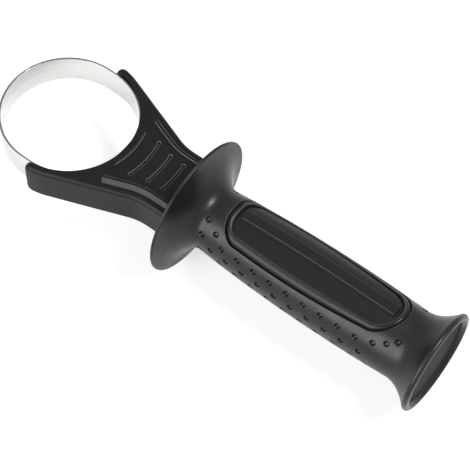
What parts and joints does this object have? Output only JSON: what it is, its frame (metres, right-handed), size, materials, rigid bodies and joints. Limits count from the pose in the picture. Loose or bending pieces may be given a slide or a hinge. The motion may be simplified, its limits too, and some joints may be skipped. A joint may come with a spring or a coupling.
{
  "type": "power tool side handle",
  "caption": "Auxiliary side handle for a power tool: a steel band clamps its yoke round the tool's collar and is drawn tight by turning the moulded grip.",
  "frame": {"origin": "centre of the tool collar that the band clamps, midway through the band's width", "axes": "+Z along the collar's axis, +X along the grip from the collar to the foot of the grip"},
  "size_m": [0.192, 0.0572, 0.0548],
  "materials": {
    "yoke_plastic": "fine matt moulded glass-filled nylon",
    "core_plastic": "satin moulded plastic",
    "sleeve_rubber": "satin moulded elastomer",
    "band_steel": "bright zinc-plated strip",
    "bolt_steel": "zinc-plated"
  },
  "bodies": {
    "yoke_body": {"yoke": "yoke_plastic"},
    "grip_body": {"grip_core": "core_plastic", "grip_sleeve": "sleeve_rubber", "nut_insert": "bolt_steel"},
    "band_body": {"clamping_band": "band_steel", "clamp_bolt": "bolt_steel"}
  },
  "joints": [
    {"name": "grip_turn", "type": "hinge", "parent": "yoke_body", "child": "grip_body", "pos_m": [0.06, 0, 0], "axis": [1, 0, 0], "range_deg": [-648, 1080]},
    {"name": "band_draw", "type": "slide", "parent": "yoke_body", "child": "band_body", "axis": [1, 0, 0], "range_m": [-0.00376, 0.00226]}
  ],
  "couplings": [
    {"joint": "band_draw", "follows": "grip_turn", "m_per_rad": -0.00019894}
  ]
}
